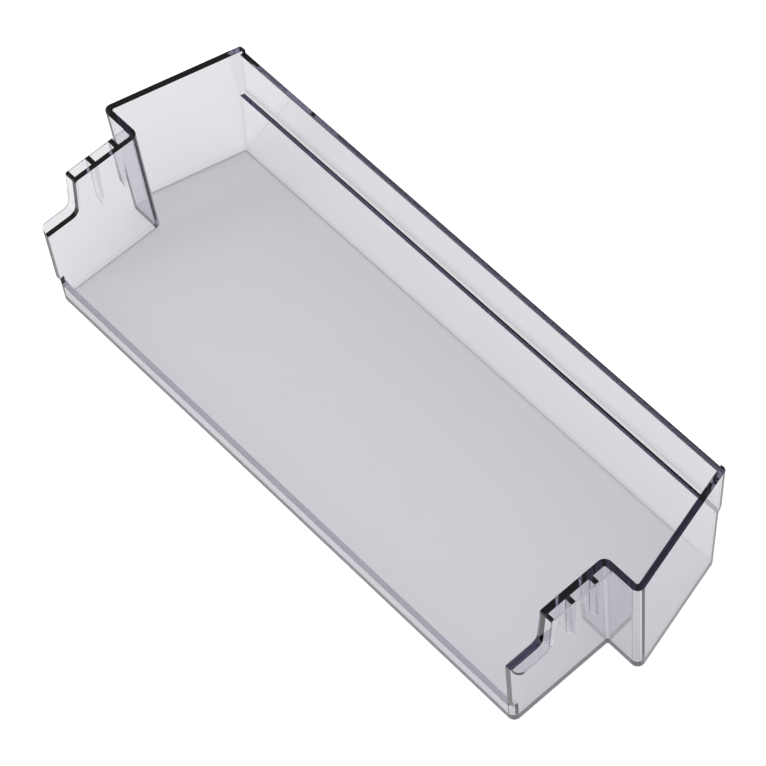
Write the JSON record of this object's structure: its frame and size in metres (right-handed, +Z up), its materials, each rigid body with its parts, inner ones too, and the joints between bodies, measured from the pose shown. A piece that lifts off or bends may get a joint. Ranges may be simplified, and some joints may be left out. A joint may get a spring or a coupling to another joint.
{
  "type": "fridge door shelf",
  "caption": "Clear moulded door tray with a tall front wall, a low back lip, flared ends and a stepped hook flange on each narrow end wall.",
  "frame": {"origin": "middle of the flat underside, centred on the overall box", "axes": "+X along the tray, -Y towards the tall front wall, +Y towards the low back lip, +Z up"},
  "size_m": [0.3828, 0.1375, 0.087],
  "materials": {
    "clear_plastic": "polished clear plastic with a faint smoky tint"
  },
  "bodies": {
    "root": {"shelf_tray": "clear_plastic"}
  },
  "joints": []
}
